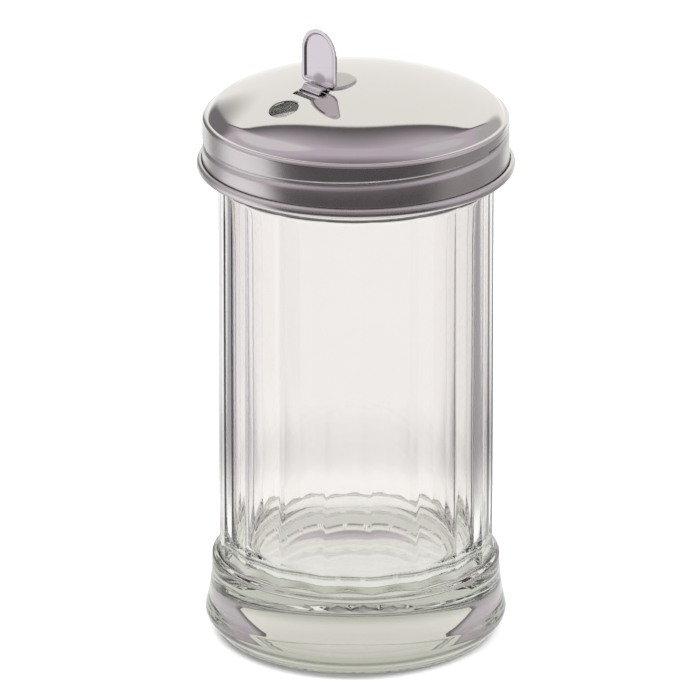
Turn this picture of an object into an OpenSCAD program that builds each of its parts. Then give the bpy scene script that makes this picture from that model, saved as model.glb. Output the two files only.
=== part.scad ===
// Sugar dispenser: a panelled glass jar with a drawn steel lid,
// and a small steel flap that swings on a bar in the lid and covers the pour hole.
// Millimetres, +Z up. The origin is on the table, at the middle of the jar's base.
// The pour hole lies on the -Y side.

/* [Glass jar] */
// Height of the jar to its mouth
jar_h = 132.35; // [110:0.05:170]
// Radius of the body at the ridges between its panels
body_r = 33.1; // [30:0.1:37]
// Number of flat panels round the body
panels = 18; // [14:1:24]
// Turn of the first ridge from the +X side, in degrees
panel_turn = 5.5; // [0:0.5:25]
// Glass thickness at the middle of a panel
wall = 2.1; // [1.5:0.1:3.5]
// Height of the inside floor above the table
floor_z = 19.5; // [12:0.5:26]
// Radius of the round corner between the floor and the wall
floor_round = 8; // [3:0.5:12]
// Height where the panels run out at the foot
panel_foot_z = 21.4; // [20:0.1:28]
// Height where the panels run out under the neck, down from the mouth
panel_top_drop = 19.5; // [18:0.5:24]

/* [Foot] */
// How far the ledge round the top of the foot stands out past the ridges
ledge_out = 1.7; // [1.2:0.1:2.4]
// How far the heel, the widest place of the foot, stands out past the ledge
heel_out = 1.6; // [0.8:0.1:3]
// Height of the heel above the table
heel_z = 5.5; // [4.5:0.1:8]
// How far the ring that the jar stands on lies inside the heel
stand_in = 3.6; // [2.8:0.1:5]
// Width of the ring that the jar stands on
stand_w = 4.3; // [3:0.1:8]
// Height of the shallow hollow under the base
hollow_h = 1.2; // [0.8:0.1:4]

/* [Neck] */
// How far the neck that the lid goes over stands out past the ridges
neck_out = 1.3; // [1:0.1:2]
// Gap round the neck inside the lid's rolled groove, which the real jar's thread takes up
thread_gap = 1.1; // [0.4:0.1:1.6]
// Radius of the round lip at the mouth
lip_r = 1.5; // [0.8:0.1:1.8]
// Gap between the lip and the lid that sits on it
seat_gap = 0.12; // [0.05:0.01:0.3]

/* [Lid] */
// Thickness of the drawn steel sheet
sheet = 0.6; // [0.4:0.05:0.8]
// Radius of the sphere that the top is part of
dome_r = 77; // [70:1:110]
// Radius of the round shoulder outside the top
shoulder_r = 6.6; // [5:0.1:8]
// How far inside the bands the shoulder would end
shoulder_in = 0.3; // [0.1:0.1:0.6]
// Height of the shoulder's centre above the lid's lower edge
shoulder_z = 10.1; // [9:0.1:14]
// Height of the crease above the lid's lower edge
crease_z = 13.2; // [12.5:0.1:14]
// Height of the rolled groove above the lid's lower edge
groove_z = 8; // [6:0.1:10]
// Height of the rolled groove from edge to edge
groove_w = 2; // [1.2:0.1:3]
// Depth of the rolled groove
groove_d = 0.7; // [0.3:0.05:0.9]
// Radius of the curled rim's tube
curl_r = 1.2; // [0.8:0.1:1.6]
// How far the curled rim stands out past the skirt's bands
rim_out = 1.4; // [1:0.1:2.2]

/* [Pour hole] */
// Diameter of the pour hole
hole_d = 7.2; // [5:0.1:8]
// Distance of the pour hole from the lid's middle
hole_y = 22.9; // [21:0.1:24]

/* [Hinge windows] */
// Distance of the hinge bar's middle from the lid's middle
bar_y = 12.9; // [11:0.1:14]
// Width of the hinge bar, the strip of lid left between the windows
bar_w = 1.6; // [1.2:0.1:1.8]
// Length of both windows along the bar
window_w = 7.4; // [6.6:0.1:9]
// Width of the window in front of the bar
front_window = 3.3; // [1.6:0.1:4]
// Gap between the upright flap's neck and the edge behind it, which stops it
stop_gap = 0.1; // [0.05:0.05:0.4]

/* [Stop pad] */
// Radius of the raised round pad behind the windows
pad_r = 5.3; // [3:0.1:6]
// Distance of the pad's middle from the lid's middle
pad_y = 6.7; // [5:0.1:8]
// Height that the pad stands above the top
pad_h = 0.5; // [0.3:0.05:0.6]

/* [Flap] */
// Thickness of the flap's steel sheet
flap_sheet = 0.5; // [0.5:0.05:0.6]
// Inner radius of the knuckle curled round the bar
knuckle_r = 1.05; // [1.05:0.01:1.2]
// Gap along the bar at each side of the knuckle
knuckle_gap = 0.6; // [0.2:0.05:0.8]
// Angle left open between the knuckle's end and the neck, in degrees
knuckle_slit = 55; // [30:5:80]
// Width of the flap
flap_w = 12.2; // [9.5:0.1:14]
// Height from the bar to the flap's lower edge
flap_base = 1.2; // [1.1:0.1:2.2]
// Height from the bar to the flap's tip
flap_tip = 15.2; // [14.5:0.1:17]
// Radius of the flap's lower corners
flap_corner = 1.4; // [0.8:0.1:2.5]
// Width of the flap's flat border
border = 0.95; // [0.6:0.05:1.5]
// Depth of the pan inside the border
pan_d = 0.45; // [0.2:0.05:0.45]

/* [Hidden] */
$fn = 96;

// Steps along an outline's arcs
fine = 10;
coarse = 6;
// Margin that a cutting tool runs past what it cuts
past = 1;
// Smallest radius left in a corner that is set in
least_corner = 0.2;

// Radii that follow from the body's, outwards to the foot and to the lid
ledge_r = body_r + ledge_out;
heel_r = ledge_r + heel_out;
stand_r = heel_r - stand_in;
hollow_r = stand_r - stand_w;
neck_r = body_r + neck_out;
band_r = neck_r + thread_gap + groove_d + sheet;
rim_r = band_r + rim_out;

// Glass: radii that follow from the panels, with the round core just behind them
core_gap = 0.05;
panel_r = body_r * cos(180 / panels);
core_r = panel_r - core_gap;
bore_r = panel_r - wall;
panel_top_z = jar_h - panel_top_drop;

// Glass: radii of the rounds in the outline, and the angles they turn through
foot_turn = 80;
neck_flare = 4;
neck_turn = 52;
heel_round = 4.2;
heel_turn = 70;
ledge_round = 0.9;
foot_steps = 4;

// Foot: the hollow flare under the panels and the round of the ledge meet at one slope
foot_flare = (ledge_r - core_r) / (1 - cos(foot_turn)) - ledge_round;
ledge_z = panel_foot_z - (foot_flare + ledge_round) * sin(foot_turn);

// Lid: centres of the shoulder and of the top's sphere, above the lid's lower edge
shoulder_x = band_r - shoulder_in - shoulder_r;
dome_z = shoulder_z - sqrt(pow(dome_r - shoulder_r, 2) - pow(shoulder_x, 2));
join_a = atan2(shoulder_z - dome_z, shoulder_x);
crease_a = asin((crease_z - shoulder_z) / shoulder_r);
curl_x = rim_r - curl_r;

// Crease: a small step from the shoulder out to the upper band
step_in = 0.3;
step_drop = 0.12;
band_drop = 0.6;

// The lid comes to rest where its shoulder meets the jar's round lip
lip_x = neck_r - lip_r;
seat_r = shoulder_r - sheet - lip_r - seat_gap;
seat_rise = sqrt(pow(seat_r, 2) - pow(lip_x - shoulder_x, 2));
lid_z = jar_h - lip_r - seat_rise - shoulder_z;

// Place of the hinge bar's middle, halfway through the sheet
bar_r = dome_r - sheet / 2;
bar_z = lid_z + dome_z + sqrt(pow(bar_r, 2) - pow(bar_y, 2));
knuckle_out = knuckle_r + flap_sheet;
neck_w = window_w - 2 * knuckle_gap;
rear_window = knuckle_out + stop_gap - bar_w / 2;

function without_first(points) = [for (i = [1:len(points) - 1]) points[i]];
function reversed(points) = [for (i = [len(points) - 1:-1:0]) points[i]];

// Points along an arc round c, from angle a0 to a1
function arc(c, r, a0, a1, steps) =
    [for (i = [0:steps]) let (a = a0 + (a1 - a0) * i / steps) c + r * [cos(a), sin(a)]];

// Outline of the glass on the right of its axis, from the base to the mouth
function jar_outline() = concat(
    [[0, 0], [stand_r, 0]],
    arc([heel_r - heel_round, heel_z], heel_round, -heel_turn, 0, coarse),
    [for (i = [1:foot_steps - 1]) let (up = i / foot_steps)
        [ledge_r + (heel_r - ledge_r) * pow(1 - up, 2), heel_z + (ledge_z - heel_z) * up]],
    arc([ledge_r - ledge_round, ledge_z], ledge_round, 0, foot_turn, coarse),
    without_first(arc([core_r + foot_flare, panel_foot_z], foot_flare, 180 + foot_turn, 180, coarse)),
    arc([core_r + neck_flare, panel_top_z], neck_flare, 180, 180 - neck_turn, coarse),
    [[neck_r, panel_top_z + neck_flare]],
    arc([lip_x, jar_h - lip_r], lip_r, 0, 90, coarse),
    [[0, jar_h]]
);

// Outline of the space for the sugar
function bore_outline() = concat(
    [[0, floor_z]],
    arc([bore_r - floor_round, floor_z + floor_round], floor_round, -90, 0, fine),
    arc([bore_r + lip_r, jar_h - lip_r], lip_r, 180, 90, coarse),
    [[bore_r + lip_r, jar_h + past], [0, jar_h + past]]
);

module panel_prism() {
    corners = [for (i = [0:panels - 1]) body_r * [cos(panel_turn + 360 * i / panels),
                                                  sin(panel_turn + 360 * i / panels)]];
    translate([0, 0, ledge_z])
        linear_extrude(panel_top_z + neck_flare / 2 - ledge_z) polygon(corners);
}

module glass_jar() {
    hollow_ball = (pow(hollow_r, 2) + pow(hollow_h, 2)) / (2 * hollow_h);
    color([0.80, 0.87, 0.84, 0.45])
    difference() {
        union() {
            rotate_extrude() polygon(jar_outline());
            panel_prism();
        }
        rotate_extrude() polygon(bore_outline());
        translate([0, 0, hollow_h - hollow_ball]) sphere(hollow_ball);
    }
}

// Top and shoulder of the lid, set in by the given depth, from the axis outwards
function top_line(inset, end_a) = concat(
    arc([0, dome_z], dome_r - inset, 90, join_a, fine),
    without_first(arc([shoulder_x, shoulder_z], shoulder_r - inset, join_a, end_a, coarse))
);

// One side of the skirt, from the crease down to the rim, set in by the given depth
function skirt_line(inset) = let (r = band_r - inset, half = groove_w / 2, flat = half / 3) [
    [r, crease_z - band_drop - inset],
    [r, groove_z + half],
    [r - groove_d, groove_z + flat],
    [r - groove_d, groove_z - flat],
    [r, groove_z - half],
    [r, curl_r]
];

module lid_shell() {
    rotate_extrude() {
        polygon(concat(
            top_line(0, crease_a),
            [[band_r - step_in, crease_z - step_drop]],
            skirt_line(0),
            reversed(skirt_line(sheet)),
            reversed(top_line(sheet, crease_a / 2))
        ));
        translate([curl_x, curl_r]) circle(curl_r);
    }
}

// A round pad pressed up out of the top, with the sheet's thickness kept
module pad_raise(r, h) {
    intersection() {
        translate([0, -pad_y, crease_z]) cylinder(h = dome_r, r = r);
        translate([0, 0, dome_z]) sphere(dome_r + h);
    }
}

module window(from_y, width) {
    translate([-window_w / 2, -from_y, crease_z]) cube([window_w, width, dome_r]);
}

module lid() {
    hole_tilt = asin(hole_y / dome_r);
    color([0.72, 0.69, 0.71])
    translate([0, 0, lid_z])
    difference() {
        union() {
            lid_shell();
            difference() {
                pad_raise(pad_r, pad_h);
                translate([0, 0, dome_z]) sphere(dome_r - sheet / 2);
            }
        }
        pad_raise(pad_r - sheet, pad_h - sheet);
        window(bar_y + bar_w / 2 + front_window, front_window);
        window(bar_y - bar_w / 2, rear_window);
        translate([0, 0, dome_z]) rotate([hole_tilt, 0, 0])
            translate([0, 0, dome_r - hole_d]) cylinder(h = 2 * hole_d, d = hole_d);
    }
}

// Outline of the flap, set in all round, with its tip along +Y
function flap_outline(inset) = let (
    half = flap_w / 2 - inset,
    low = flap_base + inset,
    corner = max(flap_corner - inset, least_corner),
    arch_z = flap_tip - flap_w / 2
) concat(
    arc([half - corner, low + corner], corner, -90, 0, coarse),
    arc([0, arch_z], half, 0, 180, 2 * fine),
    arc([corner - half, low + corner], corner, 180, 270, coarse)
);

// Stands a drawing up on the flap's front face and gives it a thickness
module flap_plate(front, thick) {
    translate([0, front + thick, 0]) rotate([90, 0, 0]) linear_extrude(thick) children();
}

module knuckle() {
    reach = 2 * knuckle_out;
    rotate([90, 0, 90]) translate([0, 0, -neck_w / 2]) linear_extrude(neck_w)
    difference() {
        circle(knuckle_out);
        circle(knuckle_r);
        polygon([[0, 0], [reach, 0], reach * [cos(knuckle_slit), sin(knuckle_slit)]]);
    }
}

module flap() {
    lap = 0.1;
    color([0.78, 0.76, 0.78])
    translate([0, -bar_y, bar_z]) {
        knuckle();
        flap_plate(knuckle_r, flap_sheet) translate([-neck_w / 2, 0]) square([neck_w, flap_base + border]);
        flap_plate(knuckle_r, flap_sheet) difference() {
            polygon(flap_outline(0));
            polygon(flap_outline(border));
        }
        flap_plate(knuckle_r + pan_d, flap_sheet) polygon(flap_outline(border - lap));
    }
}

glass_jar();
lid();
flap();
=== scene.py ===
import math

import bmesh
import bpy
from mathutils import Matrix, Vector


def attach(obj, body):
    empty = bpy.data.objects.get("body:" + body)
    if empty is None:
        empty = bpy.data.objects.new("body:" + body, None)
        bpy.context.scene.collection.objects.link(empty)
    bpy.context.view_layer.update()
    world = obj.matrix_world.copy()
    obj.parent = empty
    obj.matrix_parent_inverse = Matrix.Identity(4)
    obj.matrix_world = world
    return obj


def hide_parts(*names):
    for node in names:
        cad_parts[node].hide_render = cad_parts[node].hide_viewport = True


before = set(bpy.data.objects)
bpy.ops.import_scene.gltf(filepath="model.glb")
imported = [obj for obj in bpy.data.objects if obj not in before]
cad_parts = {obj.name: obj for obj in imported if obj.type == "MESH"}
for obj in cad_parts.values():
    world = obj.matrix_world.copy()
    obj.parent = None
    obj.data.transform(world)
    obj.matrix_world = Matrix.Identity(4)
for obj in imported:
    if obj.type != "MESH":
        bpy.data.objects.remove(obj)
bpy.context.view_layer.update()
mm = 0.001
print("frame loaded")

# camera, fitted to the object's outline, rings and flap in the photo; lengths in metres
shot = {"azimuth": 48.8, "elevation": 20.45, "distance": 3.0, "lens": 641.6,
        "lookHeight": 0.07066, "sideStep": -0.00142}


def directionTo(azimuth, elevation):
    turn, tilt = math.radians(azimuth), math.radians(elevation)
    return Vector((math.sin(turn) * math.cos(tilt), -math.cos(turn) * math.cos(tilt), math.sin(tilt)))


def photoSide():
    turn = math.radians(shot["azimuth"])
    return Vector((math.cos(turn), math.sin(turn), 0))


def makeCamera():
    back = directionTo(shot["azimuth"], shot["elevation"])
    bpy.ops.object.camera_add()
    camera = bpy.context.object
    camera.name = "photoCamera"
    camera.data.lens = shot["lens"]
    camera.data.dof.use_dof = False
    lookAt = photoSide() * shot["sideStep"] + Vector((0, 0, shot["lookHeight"]))
    camera.location = back * shot["distance"] + lookAt
    camera.rotation_mode = "QUATERNION"
    camera.rotation_quaternion = (-back).to_track_quat("-Z", "Y")
    bpy.context.scene.camera = camera


# tools shared by the pieces; their settings are in millimetres and degrees
closeEnough = 1e-6
closeAngle = 0.1


def clearSelection():
    if bpy.context.mode != "OBJECT":
        bpy.ops.object.mode_set(mode="OBJECT")
    bpy.ops.object.select_all(action="DESELECT")


def makeActive(piece):
    clearSelection()
    piece.select_set(True)
    bpy.context.view_layer.objects.active = piece


def arcPoints(centre, radius, startAngle, endAngle, steps, flatten=1.0):
    points = []
    for i in range(steps + 1):
        a = math.radians(startAngle + (endAngle - startAngle) * i / steps)
        points.append((centre[0] + radius * math.cos(a), centre[1] + radius * flatten * math.sin(a)))
    return points


def startRing(name, columns, turn, start):
    clearSelection()
    radius, height = start
    bpy.ops.mesh.primitive_circle_add(vertices=columns, radius=radius * mm, location=(0, 0, height * mm),
                                      rotation=(0, 0, math.radians(turn)))
    piece = bpy.context.object
    piece.name = name
    bpy.ops.object.transform_apply(location=True, rotation=True, scale=True)
    bpy.ops.object.mode_set(mode="EDIT")
    bpy.ops.mesh.select_mode(type="VERT")
    bpy.ops.mesh.select_all(action="SELECT")
    return piece


def turnProfile(outline):
    # each ring is extruded from the one before, then drawn in or out
    for (fromRadius, fromHeight), (radius, height) in zip(outline, outline[1:]):
        bpy.ops.mesh.extrude_region_move(TRANSFORM_OT_translate={"value": (0, 0, (height - fromHeight) * mm)})
        grow = radius / fromRadius
        bpy.ops.transform.resize(value=(grow, grow, 1), center_override=(0, 0, height * mm))


def choose(mesh, verts):
    bpy.ops.mesh.select_all(action="DESELECT")
    for v in verts:
        v.select_set(True)
    mesh.select_flush_mode()


def closeFirstRing(piece, count):
    mesh = bmesh.from_edit_mesh(piece.data)
    mesh.verts.ensure_lookup_table()
    choose(mesh, [mesh.verts[i] for i in range(count)])
    bpy.ops.mesh.extrude_region_move(TRANSFORM_OT_translate={"value": (0, 0, 0)})
    bpy.ops.mesh.merge(type="CENTER")


def polarAngle(point):
    return math.degrees(math.atan2(point.y, point.x))


def wrapAngle(angle, span=360):
    return (angle + span / 2) % span - span / 2


def rollThread(piece, heights, baseRadius, settings):
    # lifts each column of a plain ring bead a little more than the last, and fades it out at both ends
    mesh = bmesh.from_edit_mesh(piece.data)
    low, high = min(heights) * mm - closeEnough, max(heights) * mm + closeEnough
    columns = {}
    for v in mesh.verts:
        away = abs(v.co.xy.length - baseRadius * mm)
        if low < v.co.z < high and away < settings["reach"] * mm:
            columns.setdefault(round(polarAngle(v.co), 3), []).append(v)
    middle = (low + high) / 2
    for angle, verts in columns.items():
        around = wrapAngle(angle - settings["middle"])
        rise = settings["pitch"] * around / 360
        rise = max(-settings["limit"], min(settings["limit"], rise))
        choose(mesh, verts)
        bpy.ops.transform.translate(value=(0, 0, rise * mm))
        share = (settings["endAngle"] - abs(around)) / settings["fade"]
        if share < 1:
            share = max(share, 0)
            keep = share * share * (3 - 2 * share)
            a = math.radians(angle)
            pivot = (baseRadius * mm * math.cos(a), baseRadius * mm * math.sin(a), middle)
            bpy.ops.transform.resize(value=(keep, keep, 1), center_override=pivot)


def finishMesh(piece, angle):
    makeActive(piece)
    bpy.ops.object.mode_set(mode="EDIT")
    bpy.ops.mesh.select_all(action="SELECT")
    bpy.ops.mesh.normals_make_consistent(inside=False)
    bpy.ops.object.mode_set(mode="OBJECT")
    bpy.ops.object.shade_smooth_by_angle(angle=math.radians(angle))


def thicken(piece, sheet):
    wall = piece.modifiers.new("sheet", "SOLIDIFY")
    wall.thickness = sheet * mm
    wall.offset = 0
    wall.use_even_offset = True
    bpy.ops.object.modifier_apply(modifier=wall.name)


def cutWith(piece, cutter, how="DIFFERENCE"):
    makeActive(piece)
    modifier = piece.modifiers.new("cut", "BOOLEAN")
    modifier.operation = how
    modifier.solver = "EXACT"
    modifier.object = cutter
    bpy.ops.object.modifier_apply(modifier=modifier.name)
    bpy.data.objects.remove(cutter)


# glass jar
jarSizes = {
    "ridges": 18, "firstRidge": 5.5, "panelRadius": 32.597, "coreRadius": 32.547, "ridgeRadius": 33.062,
    "columnAngles": (0, 0.45, 0.95, 2, 4, 6, 8, 10, 12, 14, 16, 18, 19.05, 19.55), "softness": 0.12,
    "panelSpan": (19.6, 116.05), "panelsOutside": 32,
    "hollowBall": 339.04, "hollowHeight": 1.2, "hollowRings": (3, 8, 13, 18, 22, 25, 27, 28.2),
    "bearing": ((28.6, 0.02), (28.9, 0), (29.4, 0), (31.9, 0), (32.4, 0), (32.8, 0.04), (33.1, 0.38),
                (33.4, 0.95)),
    "heel": (32.2, 5.5, 4.2), "heelStart": -70, "ledge": (33.9, 18.715, 0.9), "flareSteps": 8,
    "footFlare": 21.4, "footRadius": 1.8265, "footTurn": 80, "bodyRings": (30, 45, 60, 75, 90, 105),
    "neckFlare": 112.85, "neckFlareRadius": 4.0, "neckFlareEnd": 128, "neckRadius": 34.4,
    "neckRings": ((-0.08, 116.6), (0, 117.0), (0, 118.6)), "aboveThread": 129.4, "mouth": 132.35, "lip": 1.5,
    "boreRadius": 30.497, "boreRings": (118, 104, 90, 76, 62, 48, 36),
    "floor": 19.5, "floorRound": 8.0, "floorRings": (17, 11, 5),
    "gripBand": (29.2, 32.1), "gripAngles": (0, 4, 8, 12, 16, 20), "gripLift": 0.55, "smoothAngle": 40,
}
jarThread = {"middle": 20, "pitch": 6.6, "limit": 2.3, "endAngle": 128, "fade": 30, "reach": 1.2,
             "height": 124.3, "steps": ((-1.3, 0), (-0.9, 0.14), (-0.5, 0.56), (-0.15, 0.78),
                                        (0.15, 0.78), (0.5, 0.56), (0.9, 0.14), (1.3, 0))}


def jarOutline(s):
    hollow = [(r, s["hollowHeight"] - s["hollowBall"] + math.sqrt(s["hollowBall"] ** 2 - r * r))
              for r in s["hollowRings"]]
    heelX, heelZ, heelR = s["heel"]
    ledgeX, ledgeZ, ledgeR = s["ledge"]
    heel = arcPoints((heelX, heelZ), heelR, s["heelStart"], 0, steps=10)
    count, drawnIn = s["flareSteps"], heelX + heelR - ledgeX - ledgeR
    flare = [(ledgeX + ledgeR + drawnIn * (1 - u / count) ** 2, heelZ + (ledgeZ - heelZ) * u / count)
             for u in range(1, count)]
    ledge = arcPoints((ledgeX, ledgeZ), ledgeR, 0, s["footTurn"], steps=6)
    footMiddle = (s["coreRadius"] + s["footRadius"], s["footFlare"])
    foot = arcPoints(footMiddle, s["footRadius"], 180 + s["footTurn"], 180, steps=16)[1:]
    body = [(s["coreRadius"], z) for z in s["bodyRings"]]
    shoulderMiddle = (s["coreRadius"] + s["neckFlareRadius"], s["neckFlare"])
    shoulder = arcPoints(shoulderMiddle, s["neckFlareRadius"], 180, s["neckFlareEnd"], steps=14)
    neck = [(s["neckRadius"] + out, z) for out, z in s["neckRings"]]
    thread = [(s["neckRadius"] + out, jarThread["height"] + up) for up, out in jarThread["steps"]]
    above = [(s["neckRadius"], s["aboveThread"])]
    lipCentre = s["mouth"] - s["lip"]
    lip = arcPoints((s["neckRadius"] - s["lip"], lipCentre), s["lip"], 0, 90, steps=8)
    inner = arcPoints((s["boreRadius"] + s["lip"], lipCentre), s["lip"], 90, 180, steps=8)
    bore = [(s["boreRadius"], z) for z in s["boreRings"]]
    floorMiddle = (s["boreRadius"] - s["floorRound"], s["floor"] + s["floorRound"])
    floorRound = arcPoints(floorMiddle, s["floorRound"], 0, -90, steps=14)
    floor = [(r, s["floor"]) for r in s["floorRings"]]
    outside = hollow + list(s["bearing"]) + heel + flare + ledge + foot + body + shoulder + neck + thread
    return outside + above + lip + inner + bore + floorRound + floor


def spreadColumns(piece, s):
    # closer columns at each ridge, so that its crest can be rounded
    step = 360 / s["ridges"]
    mesh = bmesh.from_edit_mesh(piece.data)
    count = len(s["columnAngles"])
    for place, wanted in enumerate(s["columnAngles"]):
        now = place * step / count
        if abs(now - wanted) < closeAngle:
            continue
        picked = [v for v in mesh.verts
                  if abs(wrapAngle(polarAngle(v.co) - s["firstRidge"] - now, step)) < closeAngle]
        choose(mesh, picked)
        # with no window this operator turns the other way, so the angle is negated
        back = -math.radians(wanted - now)
        bpy.ops.transform.rotate(value=back, orient_axis="Z", center_override=(0, 0, 0))
    bpy.ops.mesh.select_all(action="SELECT")


def panelReach(fromRidge, s):
    half = 180 / s["ridges"]
    return min(s["panelRadius"] / math.cos(math.radians(half - fromRidge)), s["ridgeRadius"])


def shapePanels(piece, s):
    mesh = bmesh.from_edit_mesh(piece.data)
    step = 360 / s["ridges"]
    lowest, highest = s["panelSpan"]
    rings = {}
    for v in mesh.verts:
        height, radius = v.co.z / mm, v.co.xy.length / mm
        if lowest < height < highest and radius > s["panelsOutside"]:
            fromRidge = abs(wrapAngle(polarAngle(v.co) - s["firstRidge"], step))
            rings.setdefault((round(height, 3), round(fromRidge, 2)), []).append(v)
    for (height, fromRidge), verts in rings.items():
        # on the flares the panel fades out softly where the round form passes it
        radius = verts[0].co.xy.length / mm
        panel = panelReach(fromRidge, s)
        soft = s["softness"]
        wanted = (radius + panel + math.sqrt((radius - panel) ** 2 + soft * soft)) / 2
        onBody = abs(radius - s["coreRadius"]) * mm < closeEnough
        if onBody:
            wanted = panel
        choose(mesh, verts)
        bpy.ops.transform.resize(value=(wanted / radius, wanted / radius, 1), center_override=(0, 0, 0))


def pressGrip(piece, s):
    # small notches all round the ring that the jar stands on
    mesh = bmesh.from_edit_mesh(piece.data)
    step = 360 / s["ridges"]
    inner, outer = s["gripBand"]
    picked = []
    for v in mesh.verts:
        if abs(v.co.z) < closeEnough and inner * mm < v.co.xy.length < outer * mm:
            fromRidge = wrapAngle(polarAngle(v.co) - s["firstRidge"], step) % step
            if min(abs(fromRidge - a) for a in s["gripAngles"]) < closeAngle:
                picked.append(v)
    choose(mesh, picked)
    bpy.ops.transform.translate(value=(0, 0, s["gripLift"] * mm))


def makeJar():
    s = jarSizes
    outline = jarOutline(s)
    count = s["ridges"] * len(s["columnAngles"])
    jar = startRing("jarGlass", count, s["firstRidge"] - 180 / s["ridges"], outline[0])
    spreadColumns(jar, s)
    turnProfile(outline)
    bpy.ops.mesh.merge(type="CENTER")
    closeFirstRing(jar, count)
    shapePanels(jar, s)
    pressGrip(jar, s)
    rollThread(jar, [jarThread["height"] + up for up, out in jarThread["steps"]], s["neckRadius"], jarThread)
    finishMesh(jar, s["smoothAngle"])
    print("jar made:", len(jar.data.polygons), "faces")
    return jar


# lid, drawn on the middle of its sheet and then given its thickness
lidSizes = {
    "base": 117.559, "sheet": 0.6, "columns": 240, "domeCentre": -53.635, "domeRadius": 77.0,
    "domeStart": 89.3, "shoulder": (29.9, 10.1, 6.6), "joinAngle": 64.87, "joinStep": 3, "creaseAngle": 28.0,
    "crease": ((35.72, 12.99), (36.08, 12.9), (36.36, 12.72)), "band": 36.8, "bandTop": (12.4, 12.28),
    "bandFoot": (3.5, 2.95, 2.1), "curl": (37.2, 1.2, 0.69, 0.9), "curlEnd": 458, "smoothAngle": 35,
    # the next line bounds the inner faces that take the steel painted with shade
    "shadeFrom": 3.2, "shadeDepth": 0.35, "shadeAboveShoulder": 3, "facesDown": -0.2,
}
lidThread = {"middle": -41.5, "pitch": 6.6, "limit": 2.9, "endAngle": 166, "fade": 28, "reach": 0.9,
             "height": 7.95, "steps": ((1.3, 0), (1.0, 0.08), (0.7, 0.38), (0.35, 0.64), (0, 0.7),
                                       (-0.35, 0.64), (-0.7, 0.38), (-1.0, 0.08), (-1.3, 0))}
openings = {
    "holeRadius": 3.6, "holeFromAxis": 22.9, "edgeRound": 0.14, "roundMiddle": 0.3, "pastFace": 0.01,
    "windowWidth": 7.4, "windowCorner": 0.35, "frontWindow": (-17.0, -13.7), "rearWindow": (-12.1, -11.25),
    "cutterHeight": 12, "cutterMiddle": 22, "cutterColumns": 96, "cutterReach": 2,
}
padSizes = {
    "radius": 5.3, "fromAxis": 6.7, "height": 0.5, "flank": 0.7, "columns": 96,
    "topRings": (0.4, 1.5, 2.6, 3.6),
    "rimSteps": ((-0.3, 0.01), (0, -0.02), (0.22, -0.1), (0.42, -0.25)),
    "footSteps": ((0, -0.62), (0.08, -0.8), (-0.4, -0.82)), "underside": (2, -0.6),
}


def lidOutline(s):
    half, base = s["sheet"] / 2, s["base"]
    dome = arcPoints((0, s["domeCentre"]), s["domeRadius"] - half, s["domeStart"], s["joinAngle"], steps=40)
    shoulderX, shoulderZ, shoulderR = s["shoulder"]
    joined = s["joinAngle"] - s["joinStep"]
    shoulder = arcPoints((shoulderX, shoulderZ), shoulderR - half, joined, s["creaseAngle"], steps=12)
    band = s["band"] - half
    top = [(band, z) for z in s["bandTop"]]
    bead = [(band - deep, lidThread["height"] + up) for up, deep in lidThread["steps"]]
    lower = [(band, z) for z in s["bandFoot"]]
    curlX, curlZ, curlWide, curlTall = s["curl"]
    curl = arcPoints((curlX, curlZ), curlWide, 180, s["curlEnd"], steps=26, flatten=curlTall / curlWide)
    return [(r, z + base) for r, z in dome + shoulder + list(s["crease"]) + top + bead + lower + curl]


def makeHoleCutter(s, o):
    # a round cutter that widens a little at both faces of the sheet, so that the edge comes out rounded
    soft, reach, count = o["edgeRound"], o["cutterReach"], o["cutterColumns"]
    wide = o["holeRadius"] + soft
    top = -o["holeRadius"] ** 2 / (2 * s["domeRadius"])
    bottom = top - s["sheet"]
    past, rise = o["pastFace"], soft * o["roundMiddle"]
    narrow, between = wide - soft, wide - soft * (1 - o["roundMiddle"])
    outline = [(wide, bottom - reach), (wide, bottom - past), (between, bottom + rise),
               (narrow, bottom + soft), (narrow, top - soft),
               (between, top - rise), (wide, top + past), (wide, top + reach)]
    cutter = startRing("holeCutter", count, 0, outline[0])
    turnProfile(outline)
    bpy.ops.mesh.edge_face_add()
    mesh = bmesh.from_edit_mesh(cutter.data)
    mesh.verts.ensure_lookup_table()
    choose(mesh, [mesh.verts[i] for i in range(count)])
    bpy.ops.mesh.edge_face_add()
    bpy.ops.mesh.select_all(action="SELECT")
    bpy.ops.mesh.normals_make_consistent(inside=False)
    clearSelection()
    placeOnDome(cutter, s, -o["holeFromAxis"])
    return cutter


def placeOnDome(piece, s, y):
    # stands a piece that was made round the vertical axis on the dome, square to it
    lean = math.asin(y / s["domeRadius"])
    piece.rotation_euler = (-lean, 0, 0)
    middle = s["base"] + s["domeCentre"]
    piece.location = (0, y * mm, (middle + s["domeRadius"] * math.cos(lean)) * mm)
    makeActive(piece)
    bpy.ops.object.transform_apply(location=True, rotation=True, scale=True)


def makeWindowCutter(s, o, span):
    clearSelection()
    width, depth = o["windowWidth"], span[1] - span[0]
    middle = (0, (span[0] + span[1]) / 2 * mm, (s["base"] + o["cutterMiddle"]) * mm)
    bpy.ops.mesh.primitive_cube_add(size=1, location=middle)
    cutter = bpy.context.object
    cutter.name = "windowCutter"
    cutter.scale = (width * mm, depth * mm, o["cutterHeight"] * mm)
    bpy.ops.object.transform_apply(location=True, rotation=True, scale=True)
    bpy.ops.object.mode_set(mode="EDIT")
    mesh = bmesh.from_edit_mesh(cutter.data)
    bpy.ops.mesh.select_mode(type="EDGE")
    bpy.ops.mesh.select_all(action="DESELECT")
    for edge in mesh.edges:
        a, b = edge.verts
        upright = (a.co.xy - b.co.xy).length < closeEnough
        if upright:
            edge.select_set(True)
    bpy.ops.mesh.bevel(offset=o["windowCorner"] * mm, segments=5)
    bpy.ops.mesh.select_mode(type="VERT")
    clearSelection()
    return cutter


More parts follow.
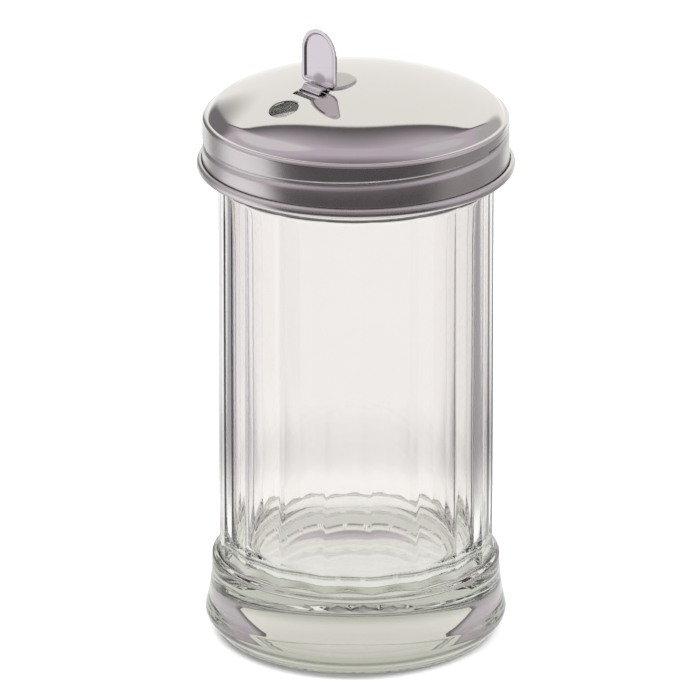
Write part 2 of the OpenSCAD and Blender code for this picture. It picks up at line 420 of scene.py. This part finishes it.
def makePad(s, p):
    # a shallow button: level with a larger sphere on top, sloping down through the dome at its flank
    big = s["domeRadius"] + p["height"]
    outer, rim = p["radius"], p["radius"] - p["flank"]
    level = math.sqrt(big * big - rim * rim) - s["domeRadius"]
    outline = [(r, math.sqrt(big * big - r * r) - s["domeRadius"]) for r in p["topRings"]]
    outline += [(rim + out, level + up) for out, up in p["rimSteps"]]
    outline += [(outer + out, level + up) for out, up in p["footSteps"]]
    underRadius, underDrop = p["underside"]
    outline += [(underRadius, level + underDrop)]
    pad = startRing("stopPad", p["columns"], 0, outline[0])
    turnProfile(outline)
    bpy.ops.mesh.merge(type="CENTER")
    closeFirstRing(pad, p["columns"])
    finishMesh(pad, s["smoothAngle"])
    placeOnDome(pad, s, -p["fromAxis"])
    return pad


def makeLid():
    s = lidSizes
    outline = lidOutline(s)
    lid = startRing("lidShell", s["columns"], 0, outline[0])
    turnProfile(outline)
    closeFirstRing(lid, s["columns"])
    rollThread(lid, [s["base"] + lidThread["height"] + up for up, deep in lidThread["steps"]],
               s["band"] - s["sheet"] / 2, lidThread)
    makeActive(lid)
    bpy.ops.object.mode_set(mode="EDIT")
    bpy.ops.mesh.select_all(action="SELECT")
    bpy.ops.mesh.normals_make_consistent(inside=False)
    bpy.ops.object.mode_set(mode="OBJECT")
    thicken(lid, s["sheet"])
    cutWith(lid, makePad(s, padSizes), "UNION")
    for span in (openings["frontWindow"], openings["rearWindow"]):
        cutWith(lid, makeWindowCutter(s, openings, span))
    cutWith(lid, makeHoleCutter(s, openings))
    finishMesh(lid, s["smoothAngle"])
    print("lid made:", len(lid.data.polygons), "faces")
    return lid


# flap: an arched plate with a flat border, a pan and a knuckle curled round the bar
flapSizes = {
    "bar": (-12.9, 139.531), "middle": 1.3, "sheet": 0.5, "halfWidth": 6.1, "tip": 15.2, "foot": 1.2,
    "corner": 1.4, "neckHalf": 3.1, "border": 0.7, "knuckleEnd": -305, "archColumns": 96,
    "slopes": ((0.14, 0.03), (0.14, 0.1), (0.14, 0.19), (0.14, 0.1), (0.14, 0.03)), "edgeRound": 0.11,
    "sharpAngle": 50, "smoothAngle": 35,
}


def makeFlap():
    s = flapSizes
    barY, barZ = s["bar"]
    archHeight = barZ + s["tip"] - s["halfWidth"]
    clearSelection()
    bpy.ops.mesh.primitive_circle_add(vertices=s["archColumns"], radius=s["halfWidth"] * mm,
                                      location=(0, (barY + s["middle"]) * mm, archHeight * mm),
                                      rotation=(math.radians(90), 0, 0))
    flap = bpy.context.object
    flap.name = "flapPlate"
    bpy.ops.object.transform_apply(location=True, rotation=True, scale=True)
    bpy.ops.object.mode_set(mode="EDIT")
    bpy.ops.mesh.select_mode(type="VERT")
    mesh = bmesh.from_edit_mesh(flap.data)
    choose(mesh, [v for v in mesh.verts if v.co.z < archHeight * mm - closeEnough])
    bpy.ops.mesh.delete(type="VERT")
    mesh = bmesh.from_edit_mesh(flap.data)
    choose(mesh, [v for v in mesh.verts if abs(v.co.z - archHeight * mm) < closeEnough])
    foot = barZ + s["foot"]
    side = [(s["halfWidth"], archHeight)]
    side += arcPoints((s["halfWidth"] - s["corner"], foot + s["corner"]), s["corner"], 0, -90, steps=8)
    side += [(s["neckHalf"], foot)]
    for (fromX, fromZ), (x, z) in zip(side, side[1:]):
        bpy.ops.mesh.extrude_region_move(TRANSFORM_OT_translate={"value": (0, 0, (z - fromZ) * mm)})
        bpy.ops.transform.resize(value=(x / fromX, 1, 1), center_override=(0, 0, 0))
    # the edge that the neck grows from, then the plate
    bpy.ops.mesh.edge_face_add()
    bpy.ops.mesh.select_all(action="SELECT")
    bpy.ops.mesh.edge_face_add()
    bpy.ops.mesh.select_mode(type="FACE")
    bpy.ops.mesh.select_all(action="SELECT")
    bpy.ops.mesh.inset(thickness=s["border"] * mm, depth=0)
    for width, deep in s["slopes"]:
        bpy.ops.mesh.inset(thickness=width * mm, depth=0)
        bpy.ops.transform.translate(value=(0, deep * mm, 0))
    bpy.ops.mesh.select_mode(type="VERT")
    mesh = bmesh.from_edit_mesh(flap.data)
    footEdge = [v for v in mesh.verts if abs(v.co.z - foot * mm) < closeEnough]
    choose(mesh, [v for v in footEdge if abs(abs(v.co.x) - s["neckHalf"] * mm) < closeEnough])
    path = [(s["middle"], s["foot"]), (s["middle"], s["foot"] / 2)]
    path += arcPoints((0, 0), s["middle"], 0, s["knuckleEnd"], steps=32)
    for (fromY, fromZ), (y, z) in zip(path, path[1:]):
        step = (0, (y - fromY) * mm, (z - fromZ) * mm)
        bpy.ops.mesh.extrude_region_move(TRANSFORM_OT_translate={"value": step})
    bpy.ops.mesh.select_all(action="SELECT")
    bpy.ops.mesh.normals_make_consistent(inside=False)
    bpy.ops.object.mode_set(mode="OBJECT")
    thicken(flap, s["sheet"])
    soft = flap.modifiers.new("edges", "BEVEL")
    soft.width = s["edgeRound"] * mm
    soft.segments = 3
    soft.limit_method = "ANGLE"
    soft.angle_limit = math.radians(s["sharpAngle"])
    bpy.ops.object.modifier_apply(modifier=soft.name)
    finishMesh(flap, s["smoothAngle"])
    print("flap made:", len(flap.data.polygons), "faces")
    return flap


# finishes

def mathNode(nodes, links, operation, a, b):
    node = nodes.new("ShaderNodeMath")
    node.operation = operation
    for place, value in enumerate((a, b)):
        if isinstance(value, (int, float)):
            node.inputs[place].default_value = value
        else:
            links.new(value, node.inputs[place])
    return node.outputs[0]


def groupNode(nodes, tree):
    node = nodes.new("ShaderNodeGroup")
    node.node_tree = tree
    return node


def placeNodes(nodes, links):
    # the point on the piece, and its three parts
    place, parts = nodes.new("ShaderNodeTexCoord"), nodes.new("ShaderNodeSeparateXYZ")
    links.new(place.outputs["Object"], parts.inputs[0])
    return place.outputs["Object"], parts.outputs


def addBump(nodes, links, shader, height, strength, distance):
    bump = nodes.new("ShaderNodeBump")
    bump.inputs["Strength"].default_value = strength
    bump.inputs["Distance"].default_value = distance
    links.new(height, bump.inputs["Height"])
    links.new(bump.outputs["Normal"], shader.inputs["Normal"])


def smoothRange(nodes, links, value, start, end):
    node = nodes.new("ShaderNodeMapRange")
    node.interpolation_type = "SMOOTHSTEP"
    node.inputs["From Min"].default_value = start
    node.inputs["From Max"].default_value = end
    links.new(value, node.inputs["Value"])
    return node.outputs["Result"]


def paintOver(nodes, links, factor, under, over):
    mix = nodes.new("ShaderNodeMix")
    mix.data_type = "RGBA"
    links.new(factor, mix.inputs["Factor"])
    for name, value in (("A", under), ("B", over)):
        if isinstance(value, tuple):
            mix.inputs[name].default_value = value
        else:
            links.new(value, mix.inputs[name])
    return mix.outputs["Result"]


handling = {"cloudDetail": 4, "scratchDetail": 2, "scratchBend": 1.2, "maskRange": (0.1, 0.45)}


def makeMottleGroup():
    # faint unevenness of a worn polished surface: a mask, and a height for a bump
    group = bpy.data.node_groups.new("handlingMarks", "ShaderNodeTree")
    for way, names in (("INPUT", ("Cloud Scale", "Scratch Scale")), ("OUTPUT", ("Mask", "Height"))):
        for name in names:
            group.interface.new_socket(name, in_out=way, socket_type="NodeSocketFloat")
    nodes, links = group.nodes, group.links
    inputs, outputs = nodes.new("NodeGroupInput"), nodes.new("NodeGroupOutput")
    place = nodes.new("ShaderNodeTexCoord")
    cloud, scratch = nodes.new("ShaderNodeTexNoise"), nodes.new("ShaderNodeTexNoise")
    cloud.inputs["Detail"].default_value = handling["cloudDetail"]
    scratch.inputs["Detail"].default_value = handling["scratchDetail"]
    scratch.inputs["Distortion"].default_value = handling["scratchBend"]
    links.new(place.outputs["Object"], cloud.inputs["Vector"])
    links.new(place.outputs["Object"], scratch.inputs["Vector"])
    links.new(inputs.outputs["Cloud Scale"], cloud.inputs["Scale"])
    links.new(inputs.outputs["Scratch Scale"], scratch.inputs["Scale"])
    both = mathNode(nodes, links, "MULTIPLY", cloud.outputs["Fac"], scratch.outputs["Fac"])
    links.new(both, outputs.inputs["Mask"])
    links.new(cloud.outputs["Fac"], outputs.inputs["Height"])
    return group


# roughness runs between its two values; below satinHeight the pair named satin holds instead
steelLooks = {
    "lidSteel": {"color": (0.73, 0.715, 0.70), "roughness": (0.025, 0.06), "satin": (0.26, 0.34),
                 "bump": 0.03, "cloudScale": 160, "scratchScale": 2400},
    "flapSteel": {"color": (0.72, 0.69, 0.71), "roughness": (0.08, 0.16), "satin": (0.08, 0.16),
                  "bump": 0.05, "cloudScale": 220, "scratchScale": 2600},
    # painted shade: this copy of the lid's steel is near-black, for the shade inside the lid and its hole
    "shadedInnerSteel": {"color": (0.15, 0.16, 0.148), "roughness": (0.35, 0.45), "satin": (0.35, 0.45),
                   "bump": 0.04, "cloudScale": 220, "scratchScale": 2600},
}
# places in the looks are in metres
satinHeight = (0.1296, 0.1303)
# round the pad the colour is painted darker and the steel made rougher
padPatch = {"centre": (0, -0.0067, 0.1412), "edge": (0.0056, 0.0050), "darker": 0.72, "rougher": 0.22}
steelBumpDepth = 0.0001
glassLook = {
    # the foot's two greys on the next line are painted shade, for the shaded table seen through the foot
    "color": (0.95, 0.93, 0.93, 1), "hollowShadeColor": (0.72, 0.74, 0.72, 1), "footShadeColor": (0.42, 0.44, 0.39, 1),
    "footHeight": (0.0095, 0.0035), "footReach": (0.0286, 0.0306), "ior": 1.52,
    "tint": (0.30, 0.34, 0.20, 1), "density": 7.0,
    "bump": 0.10, "bumpDepth": 0.0004, "cloudScale": 45, "scratchScale": 300,
}


def addMarks(nodes, group, look):
    marks = groupNode(nodes, group)
    marks.inputs["Cloud Scale"].default_value = look["cloudScale"]
    marks.inputs["Scratch Scale"].default_value = look["scratchScale"]
    return marks


def roughnessFrom(nodes, links, mask, ends):
    node = nodes.new("ShaderNodeMapRange")
    node.inputs["From Min"].default_value, node.inputs["From Max"].default_value = handling["maskRange"]
    node.inputs["To Min"].default_value, node.inputs["To Max"].default_value = ends
    links.new(mask, node.inputs["Value"])
    return node.outputs["Result"]


def makeSteel(name, group, look):
    material = bpy.data.materials.new(name)
    material.use_nodes = True
    nodes, links = material.node_tree.nodes, material.node_tree.links
    shader = nodes["Principled BSDF"]
    plainColor = look["color"] + (1,)
    shader.inputs["Metallic"].default_value = 1.0
    shader.inputs["Base Color"].default_value = plainColor
    marks = addMarks(nodes, group, look)
    rough = roughnessFrom(nodes, links, marks.outputs["Mask"], look["roughness"])
    satin = roughnessFrom(nodes, links, marks.outputs["Mask"], look["satin"])
    point, parts = placeNodes(nodes, links)
    chosen = nodes.new("ShaderNodeMix")
    links.new(smoothRange(nodes, links, parts["Z"], *satinHeight), chosen.inputs["Factor"])
    links.new(satin, chosen.inputs["A"])
    links.new(rough, chosen.inputs["B"])
    # the raised pad is painted a darker grey and made rougher
    nearPad = nodes.new("ShaderNodeVectorMath")
    nearPad.operation = "DISTANCE"
    nearPad.inputs[1].default_value = padPatch["centre"]
    links.new(point, nearPad.inputs[0])
    padGreying = smoothRange(nodes, links, nearPad.outputs["Value"], *padPatch["edge"])
    padGreyColor = tuple(part * padPatch["darker"] for part in look["color"]) + (1,)
    links.new(paintOver(nodes, links, padGreying, plainColor, padGreyColor), shader.inputs["Base Color"])
    duller = mathNode(nodes, links, "MULTIPLY", padGreying, padPatch["rougher"])
    rougher = mathNode(nodes, links, "ADD", chosen.outputs["Result"], duller)
    links.new(rougher, shader.inputs["Roughness"])
    addBump(nodes, links, shader, marks.outputs["Height"], look["bump"], steelBumpDepth)
    return material


def makeGlass(group, look):
    material = bpy.data.materials.new("clearGlass")
    material.use_nodes = True
    nodes, links = material.node_tree.nodes, material.node_tree.links
    shader = nodes["Principled BSDF"]
    # painted shade: the foot's colour is greyed, most of all at its knurled ring, standing in for the shaded
    # table seen through it
    point, parts = placeNodes(nodes, links)
    foot = smoothRange(nodes, links, parts["Z"], *look["footHeight"])
    fromMiddle = nodes.new("ShaderNodeVectorMath")
    fromMiddle.operation = "LENGTH"
    links.new(point, fromMiddle.inputs[0])
    outside = smoothRange(nodes, links, fromMiddle.outputs["Value"], *look["footReach"])
    footShadeColor = paintOver(nodes, links, outside, look["hollowShadeColor"], look["footShadeColor"])
    links.new(paintOver(nodes, links, foot, look["color"], footShadeColor), shader.inputs["Base Color"])
    shader.inputs["Metallic"].default_value = 0
    shader.inputs["Roughness"].default_value = 0
    shader.inputs["IOR"].default_value = look["ior"]
    shader.inputs["Transmission Weight"].default_value = 1
    marks = addMarks(nodes, group, look)
    addBump(nodes, links, shader, marks.outputs["Height"], look["bump"], look["bumpDepth"])
    depth = nodes.new("ShaderNodeVolumeAbsorption")
    depth.inputs["Color"].default_value = look["tint"]
    depth.inputs["Density"].default_value = look["density"]
    links.new(depth.outputs["Volume"], nodes["Material Output"].inputs["Volume"])
    return material


def shadeInside(lid, material):
    # painted shade: faces that look inwards or down, behind the sheet's outer face, take a rougher copy of
    # the steel painted near-black for the shade inside the lid
    lid.data.materials.append(material)
    s = lidSizes
    shoulderHeight = s["shoulder"][1]
    middle = Vector((0, 0, (s["base"] + s["domeCentre"]) * mm))
    for face in lid.data.polygons:
        inward = face.normal.x * face.center.x + face.normal.y * face.center.y < 0
        height, radius = face.center.z / mm - s["base"], face.center.xy.length / mm
        inDome = (face.center - middle).length / mm < s["domeRadius"]
        underDome = height > shoulderHeight and face.normal.z < s["facesDown"] and inDome
        inBand = s["shadeFrom"] < height < shoulderHeight + s["shadeAboveShoulder"]
        if underDome or (inward and inBand and radius < s["band"] - s["shadeDepth"]):
            face.material_index = 1


def dress(piece, material, body, node):
    piece.data.materials.clear()
    piece.data.materials.append(material)
    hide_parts(node)
    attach(piece, body)


# room
room = {
    "floorSize": 8.0, "floorColor": (0.90, 0.90, 0.90, 1), "floorRoughness": 0.9, "seenFrom": (0, 0, 0.10),
    "black": (0, 0, 0, 1), "white": (1, 1, 1, 1),
}
# directions are right, away from the camera and up; a fade goes from its first value to its second
sky = {
    "ceilingFade": (-0.8, -0.2), "behindFade": (0.0, 0.15), "lowFade": (0.0, -0.08),
    "sweep": (1.0, 0.975, 0.94, 1), "sweepTop": 0.85, "sweepCurve": 1.6, "sweepFade": (0.008, -0.008),
    "rim": (0.13, 0.115, 0.125, 1), "rimFade": (0.13, 0.0),
    "ceiling": (0.60, 0.53, 0.60, 1), "front": (0.25, 0.22, 0.25, 1),
    "lobes": (
        {"toward": (-0.56, 0.24, 0.79), "spread": (0.92, 0.96), "color": (0.76, 0.72, 0.75, 1)},
        {"toward": (0.60, 0.13, 0.78), "spread": (0.95, 0.98), "color": (0.66, 0.63, 0.66, 1)},
    ),
    "sideLobes": (
        {"toward": (-0.60, 0.77, 0.20), "spread": (0.90, 0.97), "color": (0.21, 0.195, 0.21, 1)},
        {"toward": (0.74, 0.62, 0.25), "spread": (0.91, 0.97), "color": (0.52, 0.50, 0.51, 1)},
    ),
    "ground": (0.085, 0.073, 0.08, 1), "groundSide": (0.35, 0.335, 0.345, 1), "sideFade": (-0.05, 0.35),
    "groundBack": (1.03, 1.03, 1.01, 1), "groundFade": (0.62, 0.84),
    "groundLobes": (
        {"toward": (-0.93, -0.02, -0.37), "spread": (0.84, 0.96), "color": (0.95, 0.91, 0.95, 1)},
        {"toward": (0.92, -0.15, -0.36), "spread": (0.88, 0.98), "color": (0.30, 0.275, 0.28, 1)},
    ),
    "frontFade": (0.0, -0.5), "groundNear": (1.1, 1.10, 1.07, 1), "nearFade": (-0.55, -0.75),
}
softboxes = (
    {"name": "leftBox", "azimuth": -64, "elevation": 52},
    {"name": "rightBox", "azimuth": 147, "elevation": 46},
)
softboxLook = {"distance": 1.6, "size": 0.9, "power": 22, "aimHeight": 0.08}


def makeRoomTone():
    # what the metal mirrors and what shows through the glass, by direction. Above: a grey ceiling with two
    # soft lamps, and behind the object a pale sweep with a dark edge. Below: a dark table, pale behind and
    # close by, with a bright patch at each side.
    group = bpy.data.node_groups.new("roomTone", "ShaderNodeTree")
    group.interface.new_socket("Direction", in_out="INPUT", socket_type="NodeSocketVector")
    for name in ("Mirrored", "Through"):
        group.interface.new_socket(name, in_out="OUTPUT", socket_type="NodeSocketColor")
    nodes, links = group.nodes, group.links
    inputs, outputs = nodes.new("NodeGroupInput"), nodes.new("NodeGroupOutput")
    side, upward = photoSide(), Vector((0, 0, 1))
    away = upward.cross(side)

    def along(direction):
        node = nodes.new("ShaderNodeVectorMath")
        node.operation = "DOT_PRODUCT"
        node.inputs[1].default_value = direction
        links.new(inputs.outputs["Direction"], node.inputs[0])
        return node.outputs["Value"]

    def fade(value, ends):
        return smoothRange(nodes, links, value, *sky[ends])

    def paint(factor, under, over):
        return paintOver(nodes, links, factor, under, over)

    def addLobes(tone, lobes):
        for lobe in sky[lobes]:
            right, back, up = lobe["toward"]
            toward = (side * right + away * back + upward * up).normalized()
            tone = paint(smoothRange(nodes, links, along(toward), *lobe["spread"]), tone, lobe["color"])
        return tone

    across, deep, height = along(side), along(away), along(upward)
    tone = paint(fade(deep, "ceilingFade"), sky["front"], sky["ceiling"])
    tone = addLobes(tone, "lobes")
    # the sweep's top edge is highest in the middle
    square = mathNode(nodes, links, "MULTIPLY", across, across)
    curve = mathNode(nodes, links, "MULTIPLY", square, sky["sweepCurve"])
    over = mathNode(nodes, links, "SUBTRACT", mathNode(nodes, links, "ADD", height, curve), sky["sweepTop"])
    behind = fade(deep, "behindFade")
    for part in ("rim", "sweep"):
        share = mathNode(nodes, links, "MULTIPLY", fade(over, part + "Fade"), behind)
        tone = paint(share, tone, sky[part])
    mirrored = addLobes(tone, "sideLobes")
    ground = paint(fade(deep, "sideFade"), sky["ground"], sky["groundSide"])
    ground = paint(fade(deep, "groundFade"), ground, sky["groundBack"])
    ground = addLobes(ground, "groundLobes")
    ground = paint(fade(height, "nearFade"), ground, sky["groundNear"])
    low = fade(height, "lowFade")
    links.new(paint(low, mirrored, ground), outputs.inputs["Mirrored"])
    # through the glass the side behind the camera is as pale as the ground behind the object
    through = paint(low, tone, ground)
    links.new(paint(fade(deep, "frontFade"), through, sky["groundBack"]), outputs.inputs["Through"])
    return group


def litFor(nodes, links, plain, mirrored, through):
    # one tone for rays that come off metal, one for rays through glass, a plain one for all the others
    rays = nodes.new("ShaderNodeLightPath")
    seen = paintOver(nodes, links, rays.outputs["Is Glossy Ray"], plain, mirrored)
    return paintOver(nodes, links, rays.outputs["Is Transmission Ray"], seen, through)


def makeRoom(roomTone):
    clearSelection()
    bpy.ops.mesh.primitive_plane_add(size=room["floorSize"])
    floor = bpy.context.object
    floor.name = "floor"
    paper = bpy.data.materials.new("palePaper")
    paper.use_nodes = True
    nodes, links = paper.node_tree.nodes, paper.node_tree.links
    shader = nodes["Principled BSDF"]
    shader.inputs["Roughness"].default_value = room["floorRoughness"]
    shader.inputs["Specular IOR Level"].default_value = 0
    place = nodes.new("ShaderNodeNewGeometry")
    apart, unit = nodes.new("ShaderNodeVectorMath"), nodes.new("ShaderNodeVectorMath")
    apart.operation, unit.operation = "SUBTRACT", "NORMALIZE"
    apart.inputs[1].default_value = room["seenFrom"]
    links.new(place.outputs["Position"], apart.inputs[0])
    links.new(apart.outputs["Vector"], unit.inputs[0])
    tone = groupNode(nodes, roomTone)
    links.new(unit.outputs["Vector"], tone.inputs["Direction"])
    # mirrored in the metal and through the glass the floor shows its tone, free of the jar's own shadow
    plain, glow = shader.inputs["Base Color"], shader.inputs["Emission Color"]
    links.new(litFor(nodes, links, room["floorColor"], room["black"], room["black"]), plain)
    links.new(litFor(nodes, links, room["black"], tone.outputs["Mirrored"], tone.outputs["Through"]), glow)
    shader.inputs["Emission Strength"].default_value = 1
    floor.data.materials.append(paper)
    s = softboxLook
    for box in softboxes:
        way = directionTo(box["azimuth"], box["elevation"])
        spot = way * s["distance"] + Vector((0, 0, s["aimHeight"]))
        bpy.ops.object.light_add(type="AREA", location=spot)
        lamp = bpy.context.object
        lamp.name = box["name"]
        lamp.data.size = s["size"]
        lamp.data.energy = s["power"]
        lamp.visible_glossy = False
        lamp.visible_transmission = False
        lamp.rotation_mode = "QUATERNION"
        lamp.rotation_quaternion = (-way).to_track_quat("-Z", "Y")


def makeWorld(roomTone):
    world = bpy.data.worlds.new("studio")
    bpy.context.scene.world = world
    world.use_nodes = True
    nodes, links = world.node_tree.nodes, world.node_tree.links
    coords, tone = nodes.new("ShaderNodeTexCoord"), groupNode(nodes, roomTone)
    links.new(coords.outputs["Generated"], tone.inputs["Direction"])
    back = nodes["Background"]
    seen = litFor(nodes, links, room["white"], tone.outputs["Mirrored"], tone.outputs["Through"])
    links.new(seen, back.inputs["Color"])
    back.inputs["Strength"].default_value = 1.0
    bpy.context.scene.view_settings.view_transform = "Standard"


makeCamera()
marks = makeMottleGroup()
glass = makeGlass(marks, glassLook)
steels = {name: makeSteel(name, marks, look) for name, look in steelLooks.items()}
print("finishes made")
jar = makeJar()
lid = makeLid()
flap = makeFlap()
dress(jar, glass, "jar", "glass_jar")
dress(lid, steels["lidSteel"], "lid", "lid")
shadeInside(lid, steels["shadedInnerSteel"])
dress(flap, steels["flapSteel"], "flap", "flap")
roomTone = makeRoomTone()
makeRoom(roomTone)
makeWorld(roomTone)
print("room made")
